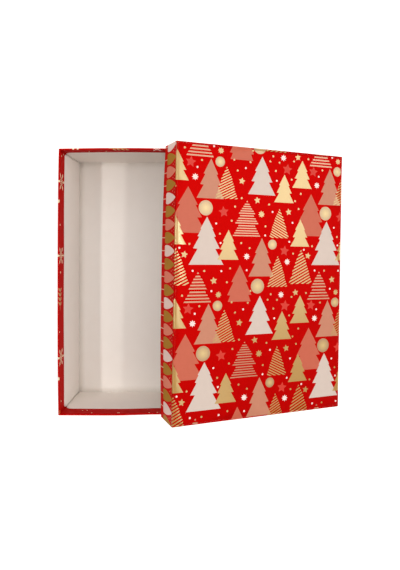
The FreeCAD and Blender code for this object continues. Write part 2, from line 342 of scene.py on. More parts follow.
# %% One repeat of the lid's print
REPEAT_U = 176.8
REPEAT_V = 180.0
SOLID_TREES = [
    ("coral", 15.8, 53.6, 110.1, 24.5, FIR),
    ("coral", 87.8, 149.3, 195.8, 16.0, LOW_FIR),
    ("rose", 45.5, 17.4, 66.9, 18.5, FIR),
    ("rose", 118.8, 114.5, 164.0, 18.5, FIR),
    ("white", 117.3, 9.1, 58.6, 20.0, FIR),
    ("white", 41.4, 89.6, 149.1, 23.2, TALL_FIR),
]
GOLD_TREES = [
    ("gold", 1.2, 9.8, 46.5, 15.2, FIR),
    ("gold", 150.7, 30.1, 67.1, 15.0, FIR),
    ("gold", 176.4, 88.3, 124.5, 14.8, FIR),
    ("gold", 71.0, 105.2, 142.7, 14.8, FIR),
]
SLANTED_TREES = [
    (67.2, 25.6, 66.1, 16.0, -0.50, 3.5),
    (142.7, 137.3, 177.8, 15.5, -0.52, 3.5),
    (178.3, 128.8, 174.3, 18.7, -0.50, 4.1),
    (144.1, 75.5, 113.8, 15.2, 0.50, 3.45),
]
BACK_EDGE_TREE = (137.5, -39.0, 1.4, 15.5, -0.52, 3.5)
LEVEL_TREES = [
    (96.5, 1.55, [(68.2, 0.8), (71.8, 3.3), (74.6, 5.2), (77.4, 7.0), (80.3, 9.3), (83.3, 11.2),
                  (86.5, 9.8), (89.9, 12.3), (93.0, 14.3), (95.9, 16.2), (99.3, 12.0),
                  (102.5, 13.5), (105.7, 15.5), (108.7, 17.3), (111.9, 19.3)]),
    (30.7, 1.9, [(159.3, 0.9), (163.6, 3.3), (167.1, 5.8), (170.8, 7.6), (174.6, 9.8), (178.5, 11.6),
                 (182.9, 10.6), (186.9, 13.2), (190.9, 15.6), (194.8, 17.6)]),
]
BAUBLES = [(57.7, 20.4, 6.4), (39.4, 78.8, 9.4), (134.3, 122.5, 6.4), (113.5, 176.6, 9.5)]
BAUBLE_RINGS = [(1.0, 40), (0.86, 30), (0.7, 24), (0.5, 18), (0.3, 12), (0.1, 6)]
GOLD_STARS = [
    (110.9, 65.9, 5, 4.7), (157.9, 79.1, 5, 4.7), (88.4, 42.6, 5, 4.7), (12.4, 136.7, 5, 4.7),
    (51.9, 169.0, 5, 4.9), (170.8, 5.8, 5, 4.7), (58.6, 6.5, 8, 4.2), (117.4, 83.7, 8, 4.7),
]
WHITE_STARS = [(24.7, 41.3, 8, 4.5), (148.7, 8.3, 8, 4.5), (97.2, 138.5, 8, 4.5), (157.1, 145.0, 8, 4.5)]
CORAL_STARS = [(18.6, 23.3, 5, 7.2), (63.8, 82.8, 5, 7.2), (154.8, 23.0, 5, 7.6), (152.6, 130.5, 5, 7.2)]
GOLD_DOTS = [
    (10.5, 6.7), (33.2, 20.2), (77.1, 16.3), (100.0, 17.6), (82.1, 29.6), (88.5, 64.3), (79.4, 75.5),
    (75.0, 93.6), (176.2, 54.1), (133.2, 7.4), (128.9, 14.4), (142.7, 14.9), (137.5, 26.2),
    (164.9, 11.5), (161.7, 36.0), (128.3, 70.5), (167.5, 64.2), (173.2, 74.4), (59.1, 110.3),
    (18.7, 123.7), (89.0, 121.4), (101.0, 127.7), (123.5, 99.1), (38.9, 156.8), (74.1, 153.6),
    (70.0, 171.1), (166.0, 134.1), (103.5, 2.6),
]
WHITE_DOTS = [
    (49.0, 1.8), (27.4, 29.2), (93.5, 25.8), (139.2, 38.9), (133.7, 80.0), (53.7, 97.7), (60.3, 121.9),
    (5.9, 128.7), (123.3, 111.0), (23.6, 156.6), (62.1, 157.0), (97.6, 156.0), (164.2, 93.2),
    (159.8, 118.5),
]
DOT_RADIUS = 1.35


def lid_repeat():
    """Every motif of one repeat as (ink, outline), in the order they are printed. Stars are
    turned a little, one way or the other."""
    motifs = [(ink, fir_tree(*tree)) for ink, *tree in SOLID_TREES]
    for u, v, points, size in CORAL_STARS:
        motifs.append(("coral_star", star(u, v, size, points, 0.5, turn=0.12 * (-1) ** int(u))))
    for tree in SLANTED_TREES:
        motifs += [("gold", band) for band in slanted_stripes(*tree)]
    for u, thick, rows in LEVEL_TREES:
        motifs += [("rose_line", stripe) for stripe in level_stripes(u, rows, thick)]
    for u, v, radius in BAUBLES:
        motifs += [("bauble", disc(u, v, radius * share, sides)) for share, sides in BAUBLE_RINGS]
    motifs += [(ink, fir_tree(*tree)) for ink, *tree in GOLD_TREES]
    for u, v, points, size in GOLD_STARS:
        inner = 0.50 if points == 5 else 0.62
        motifs.append(("gold", star(u, v, size, points, inner, turn=0.15 * (-1) ** int(v))))
    motifs += [("pearl", star(u, v, size, points, 0.60)) for u, v, points, size in WHITE_STARS]
    for ink, dots in (("gold", GOLD_DOTS), ("pearl", WHITE_DOTS)):
        motifs += [(ink, disc(u, v, DOT_RADIUS, 10)) for u, v in dots]
    return motifs


repeat = lid_repeat()
print("motifs in one repeat:", len(repeat))

# %% [markdown]
# ## The border on the skirts
#
# Below the panel the print changes: a row of pointed little trees stands along every skirt,
# tips towards the panel, in the order white, gold, coral, gold. Each has a thin pale trunk that
# runs down over the rim, and three specks lie between it and the next. The panel's own print
# stops just past the fold. A border could be one more repeat laid on the sheet, but a loop
# along each flap keeps the trees upright on all four skirts.


# %% Border trees
BORDER_PITCH = 16.36
BORDER_INKS = ["white_border", "gold_border", "coral_border", "gold_border"]
BORDER_START = {"side": 39.7, "end": 6.0}
BORDER_SPECKS = [(0.5, 0.30, 0.9), (0.38, 0.10, 0.7), (0.62, 0.14, 0.7)]
TREE_TIP = 2.2
TREE_FOOT = 33.5
TREE_HALF = 7.3
TRUNK_HALF = 0.55
PRINT_EDGE = 2.6


def pointed_tree(middle, foot, tip, half):
    """A gothic arch: sides that bulge out from the tip, widest near the foot, then round in."""
    share = np.array([0.03, 0.1, 0.2, 0.35, 0.5, 0.65, 0.8, 0.9, 0.97, 1.0])
    wide = half * np.array([0.12, 0.26, 0.44, 0.66, 0.83, 0.95, 1.0, 0.97, 0.88, 0.78])
    reach = tip + (foot - tip) * share
    right = np.stack([middle + wide, reach], 1)
    left = np.stack([middle - wide, reach], 1)[::-1]
    return np.concatenate([[(middle, tip)], right, left])


def border(half_length, end, start):
    """The row of trees along one flap, as (ink, outline) in (along, travel) millimetres."""
    motifs = []
    first = math.floor((-half_length - start) / BORDER_PITCH)
    for number in range(first, first + int(2 * half_length / BORDER_PITCH) + 3):
        middle = start + number * BORDER_PITCH
        tree = pointed_tree(middle, TREE_FOOT, TREE_TIP, TREE_HALF)
        trunk = rectangle(middle - TRUNK_HALF, middle + TRUNK_HALF, TREE_FOOT, end)
        motifs += [(BORDER_INKS[number % 4], tree), ("tick", trunk)]
        for step, reach, size in BORDER_SPECKS:
            place = TREE_TIP + (TREE_FOOT - TREE_TIP) * reach
            motifs.append(("coral_border", disc(middle + step * BORDER_PITCH, place, size, 6)))
    return motifs


# %% [markdown]
# ## Cutting the motifs into the sheet
#
# A constrained Delaunay triangulation takes outlines that overlap and cross and gives back
# triangles that respect every line, each with the list of outlines that it lies in. The last
# motif in printing order is the ink on top. Extra straight lines are added at the folds, close
# together where the paper turns, so that the folded sheet is smooth there.


# %% Triangulate a sheet with its motifs
GUARD = 0.5
RIM_LAP = 0.4
TAB = 12
SLIVER = 0.02
PAST_SHEET = 5
MERGE_WITHIN = 1e-4
INSIDE_FACES_ONLY = 1


def signed_area(outline):
    """Twice the area of an outline, positive when it runs anticlockwise."""
    following = np.roll(outline, -1, axis=0)
    return float(np.sum(outline[:, 0] * following[:, 1] - following[:, 0] * outline[:, 1]))


def inside(outline, points):
    """Which points lie in an outline: a line from the point to the right crosses it an odd
    number of times."""
    (x, y), (next_x, next_y) = outline.T, np.roll(outline, -1, axis=0).T
    px, py = points[:, 0, None], points[:, 1, None]
    spans = (y > py) != (next_y > py)
    rise = np.where(next_y == y, 1.0, next_y - y)
    crossing = x + (py - y) * (next_x - x) / rise
    return (spans & (px < crossing)).sum(1) % 2 == 1


def cut_sheet(regions, motifs, lines, zones):
    """Points, triangles and an ink for each triangle of a flat sheet.

    regions are the outlines of the paper, motifs are (ink, zone, outline) in printing order,
    lines are single cuts for the folds, and zones(points) gives a mask for each zone's name."""
    points, edges, faces = [], [], []
    for outline in list(regions) + [outline for _, _, outline in motifs]:
        start = len(points)
        outline = outline if signed_area(outline) > 0 else outline[::-1]
        points += [Vector(point) for point in outline]
        faces.append(list(range(start, start + len(outline))))
    for first, second in lines:
        edges.append((len(points), len(points) + 1))
        points += [Vector(first), Vector(second)]
    result = delaunay_2d_cdt(points, edges, faces, INSIDE_FACES_ONLY, MERGE_WITHIN, True)
    flat = np.array([tuple(point) for point in result[0]])
    triangles = np.array([tuple(face) for face in result[2]])
    centres = flat[triangles].mean(1)
    paper = np.zeros(len(triangles), dtype=bool)
    for outline in regions:
        paper |= inside(outline, centres)
    triangles, centres = triangles[paper], centres[paper]
    masks = zones(centres)
    printed = np.zeros(len(triangles), dtype=int)
    for number, (_, zone, outline) in enumerate(motifs, start=1):
        low, high = outline.min(0), outline.max(0)
        near = np.flatnonzero(masks[zone] & (centres > low).all(1) & (centres < high).all(1))
        printed[near[inside(outline, centres[near])]] = number
    names = ["field"] + [ink for ink, _, _ in motifs]
    kept, numbers = np.unique(triangles, return_inverse=True)
    return flat[kept], numbers.reshape(-1, 3), [names[number] for number in printed]


def fold_lines(wrap):
    """Cuts parallel to the folds, dense through each round with one on either side of it, then
    cuts round each corner, and cuts across the flaps every 12 mm, where the walls bow."""
    rounds = list(np.linspace(0, wrap.at_wall, 7))
    rounds += list(np.linspace(wrap.at_rim, wrap.at_inside, 11))
    crease = FOLD_RADIUS - CREASE_IN
    guards = [crease - CREASE_HALF, crease, crease + CREASE_HALF]
    guards += [wrap.at_wall + GUARD, wrap.at_rim - GUARD, wrap.at_inside + GUARD]
    levels = list(np.linspace(wrap.at_wall, wrap.at_rim, 7)[1:-1]) + [wrap.at_end - 6]
    reach_x = wrap.flat_x + wrap.at_end + PAST_SHEET
    reach_y = wrap.flat_y + wrap.at_end + PAST_SHEET
    lines = []
    for travel in rounds + guards + levels:
        for sign in (-1, 1):
            u = sign * (wrap.flat_x + travel)
            v = sign * (wrap.flat_y + travel)
            lines.append(((u, -reach_y), (u, reach_y)))
            lines.append(((-wrap.flat_x, v), (wrap.flat_x, v)))
    for travel in np.linspace(0, wrap.at_wall + CORNER_EASE, 8):
        for sign_x in (-1, 1):
            for sign_y in (-1, 1):
                v = sign_y * (wrap.flat_y + travel)
                lines.append(((sign_x * wrap.flat_x, v), (sign_x * reach_x, v)))
    for v in np.linspace(-wrap.flat_y, wrap.flat_y, 29):
        for sign in (-1, 1):
            lines.append(((sign * wrap.flat_x, v), (sign * reach_x, v)))
    for u in np.linspace(-wrap.flat_x, wrap.flat_x, 21):
        for sign in (-1, 1):
            lines.append(((u, sign * wrap.flat_y), (u, sign * reach_y)))
    return lines


def flap_regions(wrap):
    """The paper of the four flaps, as spans of travel with a half width each. A side flap has a
    tab at each end down the wall, goes just round the corner over the rim, and is trimmed
    inside. An end flap is a sliver narrower, so that it folds by itself."""
    regions = []
    round_corner = wrap.flat_y + wrap.at_wall
    under_rim, past_crest = wrap.at_rim - RIM_LAP, wrap.at_crest + RIM_LAP
    side_spans = [(0, under_rim, round_corner + TAB),
                  (under_rim, past_crest, round_corner + CORNER_EASE),
                  (past_crest, wrap.at_inside, wrap.flat_y),
                  (wrap.at_inside, wrap.at_end, wrap.half_y - WALL)]
    end_spans = [(0, wrap.at_inside, wrap.flat_x - SLIVER),
                 (wrap.at_inside, wrap.at_end, wrap.half_x - WALL - SLIVER)]
    for sign in (-1, 1):
        for low, high, half in side_spans:
            u = sorted((sign * (wrap.flat_x + low), sign * (wrap.flat_x + high)))
            regions.append(rectangle(*u, -half, half))
        for low, high, half in end_spans:
            v = sorted((sign * (wrap.flat_y + low), sign * (wrap.flat_y + high)))
            regions.append(rectangle(-half, half, *v))
    return regions


# %% [markdown]
# ## Turning a flat sheet into a piece
#
# The folded points go through the tray's matrix into the frame. The flat coordinates are kept
# as the piece's own UV map, one unit to a metre, so that fibre and halftone patterns follow the
# paper round its folds. Solidify then gives the paper its thickness, inwards.


# %% Build a mesh piece
def place_lid(x, y, down):
    """From the lid's own axes, depth measured down from its top, to the frame in metres."""
    x, y, down = bow_lid(x, y, down)
    local = np.stack([x, y, LID_HEIGHT - down], 1)
    return (LID_ORIGIN + local @ lid_axes) * MM


def place_base(x, y, down):
    """The base is the same tray mouth up, so depth from its bottom is height."""
    return np.stack(bow_base(x, y, SHEET_TOP + down), 1) * MM


def new_piece(name, points, faces, body, stands_for):
    """A mesh object at the origin that rides on a body and replaces CAD nodes."""
    mesh = bpy.data.meshes.new(name)
    mesh.from_pydata(points.tolist(), [], faces.tolist())
    mesh.update()
    piece = bpy.data.objects.new(name, mesh)
    bpy.context.scene.collection.objects.link(piece)
    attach(piece, body)
    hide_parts(*stands_for)
    return piece


def add_uv(piece, flat):
    """The flat sheet's millimetres as a UV map in metres."""
    layer = piece.data.uv_layers.new(name="sheet")
    corners = np.empty(len(piece.data.loops), dtype=np.int32)
    piece.data.loops.foreach_get("vertex_index", corners)
    layer.data.foreach_set("uv", (flat[corners] * MM).astype(np.float32).ravel())


def face_outwards(piece, flip):
    """Turn every face over if the sheet was cut the other way up, and shade it smooth."""
    if flip:
        piece.data.flip_normals()
    piece.data.shade_smooth()
    piece.data.set_sharp_from_angle(angle=math.radians(40))


def thicken(piece, back_slots):
    """Give the paper its thickness, inwards, with the plain back of the sheet inside."""
    solid = piece.modifiers.new("paper thickness", "SOLIDIFY")
    solid.thickness = PAPER * MM
    solid.offset = -1
    solid.material_offset = back_slots
    solid.material_offset_rim = back_slots


# %% [markdown]
# ## Inks and papers
#
# Box paper is coated wood-pulp sheet, offset printed under a thin matt varnish: flat colour
# with a faint mottle and a broad, weak shine. The gold is an ink full of mica flakes. It could
# be made as metal foil, but foil mirrors the room and goes black where nothing is lit, and this
# gold keeps a brown body colour in the shade and turns pale only where it faces a lamp. The
# lining is uncoated white stock, matt with a soft fibre texture.


# %% Material helpers
def linear(code):
    """An sRGB hex colour as linear RGBA."""
    values = [int(code[place:place + 2], 16) / 255 for place in (1, 3, 5)]
    line = [value / 12.92 if value <= 0.04045 else ((value + 0.055) / 1.055) ** 2.4 for value in values]
    return (*line, 1.0)


def add_node(tree, kind, settings=None, **links):
    """A node with its settings and input links or values; a link is an output socket."""
    node = tree.nodes.new(kind)
    for key, value in (settings or {}).items():
        setattr(node, key, value)
    for key, value in links.items():
        name = key.replace("_", " ")
        socket = node.inputs[int(key[1:])] if key[0] == "i" and key[1:].isdigit() else node.inputs[name]
        if isinstance(value, bpy.types.NodeSocket):
            tree.links.new(value, socket)
        else:
            socket.default_value = value
    return node


def start_material(name):
    """A named material and its empty node tree."""
    material = bpy.data.materials.new(name)
    material.use_nodes = True
    material.node_tree.nodes.clear()
    return material, material.node_tree


def finish_material(tree, **inputs):
    """The principled shader with its numbers, colours and links, and the material's output."""
    shader = add_node(tree, "ShaderNodeBsdfPrincipled", **inputs)
    add_node(tree, "ShaderNodeOutputMaterial", Surface=shader.outputs["BSDF"])


def sheet_coordinates(tree):
    """The flat sheet's UV map, so that patterns follow the paper."""
    return add_node(tree, "ShaderNodeUVMap", {"uv_map": "sheet"}).outputs["UV"]


def mottled(tree, where, first, second, size, detail=2.0):
    """Two close colours mixed by noise whose blotches are about size millimetres across."""
    noise = add_node(tree, "ShaderNodeTexNoise", Vector=where, Scale=1 / (size * MM), Detail=detail)
    mix = add_node(tree, "ShaderNodeMix", {"data_type": "RGBA"}, i0=noise.outputs["Fac"],
                   i6=linear(first), i7=linear(second))
    return mix.outputs[2]


def fine_bump(tree, where, size, depth):
    """A bump of noise, size across and depth high, both in millimetres."""
    noise = add_node(tree, "ShaderNodeTexNoise", Vector=where, Scale=1 / (size * MM), Detail=3.0)
    bump = add_node(tree, "ShaderNodeBump", Strength=1.0, Distance=depth * MM,
                    Height=noise.outputs["Fac"])
    return bump.outputs["Normal"]


# %% [markdown]
# Varnished print: the colour is laid flat, a touch darker and lighter over a few millimetres,
# which keeps a large red area from looking like plastic. A matt varnish has the index of
# any varnish, about 1.5, but its surface scatters, so only part of its mirror shine is left.
# The lid's red holds pearl pigment and glows a little towards the lamps.


# %% Printed inks
VARNISH_IOR = 1.5
MOTTLE_MM = 7.0
SCREEN_PERIOD_MM = 1.728
WAVE_NODE_PERIOD = math.pi / 10
SCREEN_SHADE = (0.55, 0.5, 0.5, 1)


def printed_grid(tree, where, colour, amount):
    """Crossed soft lines 1.7 mm apart for a halftone screen. A real one has about six lines to
    the millimetre, too fine to show, so these are as coarse as they need to be."""
    darker = colour
    for axis in ("X", "Y"):
        wave = add_node(tree, "ShaderNodeTexWave", {"bands_direction": axis}, Vector=where,
                        Scale=WAVE_NODE_PERIOD / (SCREEN_PERIOD_MM * MM))
        fade = add_node(tree, "ShaderNodeMath", {"operation": "MULTIPLY"},
                        i0=wave.outputs["Fac"], i1=amount)
        mix = add_node(tree, "ShaderNodeMix", {"data_type": "RGBA", "blend_type": "MULTIPLY"},
                       i0=fade.outputs[0], i6=darker, i7=SCREEN_SHADE)
        darker = mix.outputs[2]
    return darker


def varnished_ink(name, first, second, roughness=0.42, halftone=0.0, pearl=0.0, level=0.03):
    """Offset ink under matt varnish on coated paper. halftone darkens a fine printed grid, pearl
    is how much of the ink is metallic pigment, and level is the mirror shine that is left."""
    material, tree = start_material(name)
    where = sheet_coordinates(tree)
    colour = mottled(tree, where, first, second, MOTTLE_MM)
    if halftone:
        colour = printed_grid(tree, where, colour, halftone)
    finish_material(tree, Base_Color=colour, Roughness=roughness, Metallic=pearl, IOR=VARNISH_IOR,
                    Specular_IOR_Level=level, Normal=fine_bump(tree, where, 1.6, 0.012))
    return material


# %% [markdown]
# Lustre ink: bronze-brown, full of mica flakes that are coated with titanium dioxide. The
# coat's high index, about 2.6, gives a strong pale shine where the ink faces a lamp, and the
# brown shows elsewhere. It isn't metal, so it is a dielectric with that index. The baubles have
# the same ink printed over with rings of shade, so that a flat disc looks like a ball.


# %% Lustre inks
MICA_COAT_IOR = 2.6
BAUBLE_SHADE = [(0.0, "#CCA860"), (0.35, "#BE934C"), (0.7, "#AE7A3C"), (0.9, "#9A6430"),
                (1.0, "#A0683A")]


def finish_lustre(tree, where, colour, sheen_colour, roughness):
    """The mica coat's shine over a colour."""
    finish_material(tree, Base_Color=colour, IOR=MICA_COAT_IOR, Specular_Tint=linear(sheen_colour),
                    Roughness=roughness, Normal=fine_bump(tree, where, 0.9, 0.02))


def lustre_ink(name, first, second, sheen_colour, roughness=0.33):
    """The plain ink, with a mottle as fine as its flakes can show."""
    material, tree = start_material(name)
    where = sheet_coordinates(tree)
    finish_lustre(tree, where, mottled(tree, where, first, second, 2.2), sheen_colour, roughness)
    return material


def bauble_ink(name):
    """The ink under rings of shade, which follow the piece's own bauble attribute: 0 in the
    middle of a bauble and 1 at its edge."""
    material, tree = start_material(name)
    shade = add_node(tree, "ShaderNodeAttribute", {"attribute_name": "bauble"})
    ramp = add_node(tree, "ShaderNodeValToRGB", Fac=shade.outputs["Fac"])
    stops = ramp.color_ramp.elements
    stops[0].color, stops[1].color = linear(BAUBLE_SHADE[0][1]), linear(BAUBLE_SHADE[-1][1])
    for place, colour in BAUBLE_SHADE[1:-1]:
        stops.new(place).color = linear(colour)
    finish_lustre(tree, sheet_coordinates(tree), ramp.outputs["Color"], "#FFF4D2", 0.38)
    return material


# %% [markdown]
# Plain papers: uncoated, so they are matt, and the fibres dimple the surface under a raking
# light. Lining stock, board, stays and the underside sheet differ in colour and roughness.


# %% Plain papers, and all the inks
def plain_paper(name, first, second, coordinates="Sheet", roughness=0.72):
    """Uncoated stock. A sheet that folds reads its own map, a flat board its object's place."""
    material, tree = start_material(name)
    if coordinates == "Object":
        where = add_node(tree, "ShaderNodeTexCoord").outputs["Object"]
    else:
        where = sheet_coordinates(tree)
    finish_material(tree, Base_Color=mottled(tree, where, first, second, 18.0, 4.0),
                    Roughness=roughness, Normal=fine_bump(tree, where, 0.8, 0.03))
    return material


inks = {
    # The lid's panel: a pearly ground, trees and stars in chalky inks, and what is gold or copper.
    "red": varnished_ink("pearl red print", "#BE0200", "#B80100", 0.50, pearl=0.45),
    "white": varnished_ink("pale grey-pink ink", "#D9C5B7", "#D4BFB1", 0.5, level=0.35),
    "coral": varnished_ink("coral ink", "#CE6448", "#C85E42", 0.5, halftone=0.06, level=0.35),
    "coral_star": varnished_ink("coral red ink", "#D83522", "#D2301E", 0.5, level=0.3),
    "rose": varnished_ink("rose-tan ink", "#CC8465", "#C67D5E", 0.5, halftone=0.06, level=0.45),
    "pearl": varnished_ink("white ink", "#FAE4DA", "#F6DDD2", 0.4),
    "gold": lustre_ink("gold lustre ink", "#B67E20", "#AA7216", "#FFF6CC"),
    "rose_line": lustre_ink("copper lustre ink", "#B06040", "#A85838", "#FFE2C0"),
    "bauble": bauble_ink("shaded gold lustre ink"),
    # The lid's skirts: a duller ground that shows no glow, with flat inks.
    "border_red": varnished_ink("dark red print", "#DA0A04", "#CE0803", 0.6),
    "white_border": varnished_ink("border pink-white ink", "#FADCD0", "#F4D4C6", 0.42),
    "gold_border": varnished_ink("dull gold ink", "#BC8630", "#B07A28", 0.5),
    "coral_border": varnished_ink("border coral ink", "#EE8C72", "#E68268", 0.42),
    "tick": varnished_ink("pale line ink", "#F0BFA4", "#EAB698", 0.42),
    # The base: a deep flat red and cream, with the lid's white and gold.
    "deep_red": varnished_ink("deep red print", "#C00A05", "#B60804", 0.6),
    "cream": varnished_ink("cream ink", "#F3DDB8", "#EED6AE", 0.42),
    "back": plain_paper("uncoated back of the print", "#E9E2D8", "#E3DBD0"),
}
print("inks:", len(inks))

# %% [markdown]
# ## The lid's wrap
#
# The repeat is laid over the panel from its left and back edges, and the border along each
# flap. Every tree keeps its own outline until the sheet is cut, and then the whole sheet folds.
# As on any printed sheet, the print isn't quite square with the folds: it lies a little forward
# and a seventh of a degree askew.


# %% Lay the print on the lid's sheet
def on_panel(wrap, u, v):
    """True within the panel and the few millimetres past its folds where its print goes on."""
    return (np.abs(u) <= wrap.flat_x + PRINT_EDGE) & (np.abs(v) <= wrap.flat_y + PRINT_EDGE)


PRINT_SHIFT = (-0.2, 1.15)
PRINT_TURN = 0.0024
PANEL_MARGIN = 3
GROUND_REACH = 300
PAST_CORNER = 15
PAST_RIM = 4
TILES = [(column, row) for column in (-1, 0, 1) for row in (-1, 0, 1)]


def on_lid_sheet(wrap, u, v, column, row):
    """Ruler marks from the panel's left and back edges, in one tile, to the sheet's own place."""
    u = u + column * REPEAT_U + PRINT_SHIFT[0] - wrap.half_x
    v = wrap.half_y - v - row * REPEAT_V - PRINT_SHIFT[1]
    return u + PRINT_TURN * v, v - PRINT_TURN * u


def tile_panel(wrap, motifs, tiles=TILES):
    """Repeat the motifs over the panel, as far as they touch it."""
    placed = []
    for ink, outline in motifs:
        for tile in tiles:
            u, v = on_lid_sheet(wrap, *outline.T, *tile)
            reach_x, reach_y = wrap.half_x + PANEL_MARGIN, wrap.half_y + PANEL_MARGIN
            if u.max() > -reach_x and u.min() < reach_x and v.max() > -reach_y and v.min() < reach_y:
                placed.append((ink, "panel", np.stack([u, v], 1)))
    return placed


def onto_flap(wrap, outline, flap):
    """Move an outline in (along, travel) onto flap 0 left, 1 right, 2 front or 3 back."""
    along, travel = outline.T
    sign = -1 if flap in (0, 2) else 1
    if flap < 2:
        return np.stack([sign * (wrap.flat_x + travel), along], 1)
    return np.stack([along, sign * (wrap.flat_y + travel)], 1)


def lay_border(wrap):
    """The darker ground and the row of trees on all four flaps, turned to face outwards."""
    ground = rectangle(-GROUND_REACH, GROUND_REACH, -GROUND_REACH, GROUND_REACH)
    placed = [("border_red", "side", ground), ("border_red", "end", ground)]
    lengths = {"side": wrap.half_y + PAST_CORNER, "end": wrap.half_x}
    for flap, zone in ((0, "side"), (2, "end"), (1, "side"), (3, "end")):
        row = border(lengths[zone], wrap.at_inside + PAST_RIM, BORDER_START[zone])
        placed += [(ink, zone, onto_flap(wrap, outline, flap)) for ink, outline in row]
    return placed


def lid_zones(points):
    """The panel with its few millimetres past the folds, the side flaps and the end flaps."""
    panel = on_panel(lid_wrap, points[:, 0], points[:, 1])
    side = np.abs(points[:, 0]) > lid_wrap.flat_x
    return {"panel": panel, "side": side & ~panel, "end": ~side & ~panel}


def print_edge_lines(wrap):
    """The straight ends of the panel's print, past each fold."""
    u, v = wrap.flat_x + PRINT_EDGE, wrap.flat_y + PRINT_EDGE
    return [((-u, -v), (-u, v)), ((u, -v), (u, v)), ((-u, -v), (u, -v)), ((-u, v), (u, v))]


edge_tree = [("gold", band) for band in slanted_stripes(*BACK_EDGE_TREE)]
lid_motifs = tile_panel(lid_wrap, repeat) + tile_panel(lid_wrap, edge_tree, [(0, 0)])
lid_motifs += lay_border(lid_wrap)
lid_regions = [rectangle(-lid_wrap.flat_x, lid_wrap.flat_x, -lid_wrap.flat_y, lid_wrap.flat_y)]
lid_regions += flap_regions(lid_wrap)
lid_cuts = fold_lines(lid_wrap) + print_edge_lines(lid_wrap)
lid_flat, lid_triangles, lid_inks = cut_sheet(lid_regions, lid_motifs, lid_cuts, lid_zones)
print("lid sheet:", len(lid_flat), "points", len(lid_triangles), "triangles")


# %% Fold the lid's sheet and give each face its ink
def ink_slots(piece, triangle_inks, field):
    """One material slot for each ink in use, as many more for the paper's back, and each
    face's slot."""
    names = sorted(set(triangle_inks))
    for name in names:
        piece.data.materials.append(inks[field if name == "field" else name])
    for _ in names:
        piece.data.materials.append(inks["back"])
    order = {name: place for place, name in enumerate(names)}
    indices = np.array([order[ink] for ink in triangle_inks], dtype=np.int32)
    piece.data.polygons.foreach_set("material_index", indices)
    return len(names)


def bauble_attribute(piece, flat, wrap):
    """How far each point is from the nearest bauble's middle, as a share of its radius."""
    share = np.ones(len(flat), dtype=np.float32)
    for u, v, radius in BAUBLES:
        for tile in TILES:
            away_u, away_v = (flat - on_lid_sheet(wrap, u, v, *tile)).T
            share = np.minimum(share, np.hypot(away_u, away_v) / radius)
    layer = piece.data.attributes.new("bauble", "FLOAT", "POINT")
    layer.data.foreach_set("value", share.astype(np.float32))


lid_paper = new_piece("lid_printed_wrap", place_lid(*lid_wrap.folded(*lid_flat.T)), lid_triangles,
                      "lid", ["lid_wrap"])
add_uv(lid_paper, lid_flat)
slots_used = ink_slots(lid_paper, lid_inks, "red")
bauble_attribute(lid_paper, lid_flat, lid_wrap)
face_outwards(lid_paper, flip=False)
thicken(lid_paper, slots_used)
print("lid wrap faces:", len(lid_paper.data.polygons))

# %% [markdown]
# ## The base's wrap
#
# The base has its own darker paper: deep red with snowflakes, sprigs and dots. The photograph
# shows it at the rim and the turned-in margin, where each motif has its own place below, and
# the walls carry the same kinds on down in loose rows. The sheet is the same kind of frame of
# four flaps, with a narrow margin under the bottom in place of a panel. Motifs that cross the
# rim could be faked as dots on top of it, but on the flat sheet they simply fold over.


# %% Snowflakes, sprigs and dots
STEM_WIDTH = 0.7


def ray(angle):
    """The unit vector at an angle, and the one square to it."""
    return np.array([math.cos(angle), math.sin(angle)]), np.array([-math.sin(angle), math.cos(angle)])


def bar(u, v, length, angle):
    """A thin stem from a point, in a direction."""
    along, square = ray(angle)
    side = square * STEM_WIDTH / 2
    return np.array([-side, along * length - side, along * length + side, side]) + [u, v]


def leaf(u, v, start, widest, end, half, angle):
    """A slim kite on the ray from a point: where it starts, is widest, and ends."""
    along, square = ray(angle)
    middle, side = widest * along, half * square
    return np.array([start * along, middle - side, end * along, middle + side]) + [u, v]


def snowflake(u, v, size):
    """Six kite-shaped arms on thin stems, with a small leaf between each two."""
    shapes = []
    for arm in range(6):
        angle = arm * math.pi / 3
        between = angle + math.pi / 6
        shapes.append(bar(u, v, size * 0.5, angle))
        shapes.append(leaf(u, v, size * 0.24, size * 0.74, size, size * 0.13, angle))
        shapes.append(leaf(u, v, size * 0.14, size * 0.32, size * 0.5, size * 0.06, between))
    return shapes


def sprig(u, v, size, angle):
    """A stem with four pairs of leaves along it, each leaning out by 0.8 radians."""
    shapes = [bar(u, v, size, angle)]
    for share in (0.25, 0.5, 0.75, 1.0):
        foot = ray(angle)[0] * size * share + [u, v]
        for lean in (-0.8, 0.8):
            shapes.append(leaf(*foot, 0.0, size * 0.15, size * 0.3, size * 0.07, angle + lean))
    return shapes


# %% Where the base's motifs lie
LEFT_FLAKES = [(129.2, 7.9), (33.6, 7.9), (-98.0, 7.9)]
LEFT_DOTS = [(103.5, -0.7, 2.2), (73.3, 4.0, 1.2), (-124.2, -0.7, 2.2), (-154.2, 7.1, 1.2),
             (-64.6, 2.2, 1.1), (12.0, 6.2, 1.5), (161.8, 7.0, 1.1), (165.2, 16.0, 1.1)]
LEFT_SPRIGS = [(-37.0, 5.0, 24.0), (-169.4, 1.4, 5.0)]
BACK_DOTS = [(-99.2, -0.7, 1.4), (-93.5, -0.7, 1.4), (-81.0, 10.5, 1.1), (-59.0, 10.5, 1.1)]
FRONT_SPECKS = [(-90.0, 14.0), (-84.0, 14.0), (-76.0, 5.0), (-42.0, 5.0), (-40.5, 5.0), (-1.5, 2.5),
                (9.0, 2.5)]
WALL_ROWS = (-14.0, -38.0, -62.0)
WALL_PITCH = 26
WALL_STRAY = 3


